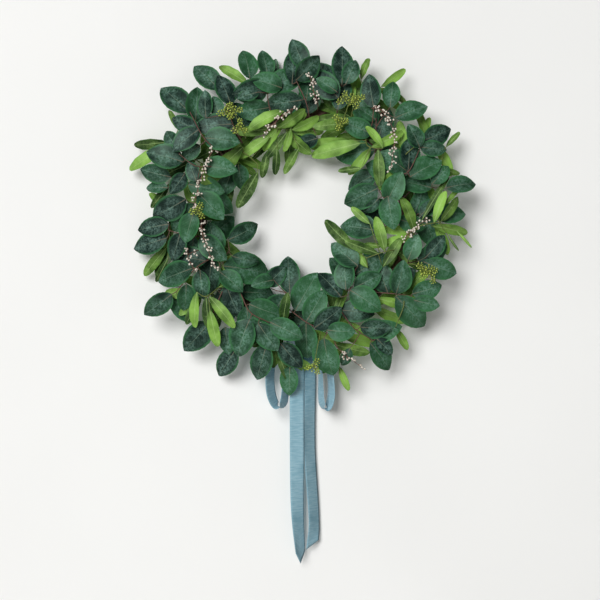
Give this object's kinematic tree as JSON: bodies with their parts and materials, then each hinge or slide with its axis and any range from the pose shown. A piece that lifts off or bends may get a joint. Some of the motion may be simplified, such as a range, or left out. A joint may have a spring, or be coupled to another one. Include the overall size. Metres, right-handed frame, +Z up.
{
  "type": "hanging foliage wreath",
  "caption": "Round wreath of dark eucalyptus and light green leaf sprigs, bud sprays and seed heads on a twisted vine ring, hung from a hook, with a blue ribbon bow and long tails",
  "frame": {"origin": "the point where the hook carries the vine ring, under the inner side of its top", "axes": "+X to the right as seen from the front, +Y towards the wall behind, +Z up"},
  "size_m": [0.6001, 0.0906, 0.9069],
  "materials": {
    "vine": "rough bark",
    "eucalyptus_leaf": "matt printed cloth leaf",
    "light_leaf": "matt printed cloth leaf",
    "bud": "matt",
    "seed": "matt",
    "ribbon": "soft sheen, fine crosswise weave"
  },
  "bodies": {
    "root": {"bud_spray_01": "bud", "bud_spray_02": "bud", "bud_spray_03": "bud", "bud_spray_04": "bud", "bud_spray_05": "bud", "bud_spray_06": "bud", "bud_spray_07": "bud", "bud_spray_08": "bud", "eucalyptus_sprig_01": "eucalyptus_leaf", "eucalyptus_sprig_02": "eucalyptus_leaf", "eucalyptus_sprig_03": "eucalyptus_leaf", "eucalyptus_sprig_04": "eucalyptus_leaf", "eucalyptus_sprig_05": "eucalyptus_leaf", "eucalyptus_sprig_06": "eucalyptus_leaf", "eucalyptus_sprig_07": "eucalyptus_leaf", "eucalyptus_sprig_08": "eucalyptus_leaf", "eucalyptus_sprig_09": "eucalyptus_leaf", "eucalyptus_sprig_10": "eucalyptus_leaf", "eucalyptus_sprig_11": "eucalyptus_leaf", "eucalyptus_sprig_12": "eucalyptus_leaf", "eucalyptus_sprig_13": "eucalyptus_leaf", "eucalyptus_sprig_14": "eucalyptus_leaf", "eucalyptus_sprig_15": "eucalyptus_leaf", "eucalyptus_sprig_16": "eucalyptus_leaf", "eucalyptus_sprig_17": "eucalyptus_leaf", "eucalyptus_sprig_18": "eucalyptus_leaf", "eucalyptus_sprig_19": "eucalyptus_leaf", "eucalyptus_sprig_20": "eucalyptus_leaf", "eucalyptus_sprig_21": "eucalyptus_leaf", "eucalyptus_sprig_22": "eucalyptus_leaf", "eucalyptus_sprig_23": "eucalyptus_leaf", "eucalyptus_sprig_24": "eucalyptus_leaf", "eucalyptus_sprig_25": "eucalyptus_leaf", "eucalyptus_sprig_26": "eucalyptus_leaf", "light_leaf_sprig_01": "light_leaf", "light_leaf_sprig_02": "light_leaf", "light_leaf_sprig_03": "light_leaf", "light_leaf_sprig_04": "light_leaf", "light_leaf_sprig_05": "light_leaf", "light_leaf_sprig_06": "light_leaf", "light_leaf_sprig_07": "light_leaf", "light_leaf_sprig_08": "light_leaf", "light_leaf_sprig_09": "light_leaf", "light_leaf_sprig_10": "light_leaf", "light_leaf_sprig_11": "light_leaf", "light_leaf_sprig_12": "light_leaf", "light_leaf_sprig_13": "light_leaf", "light_leaf_sprig_14": "light_leaf", "light_leaf_sprig_15": "light_leaf", "ribbon_knot": "ribbon", "ribbon_loop_left": "ribbon", "ribbon_loop_right": "ribbon", "ribbon_tail_left": "ribbon", "ribbon_tail_right": "ribbon", "seed_head_01": "seed", "seed_head_02": "seed", "seed_head_03": "seed", "seed_head_04": "seed", "seed_head_05": "seed", "vine_ring": "vine"}
  },
  "joints": []
}
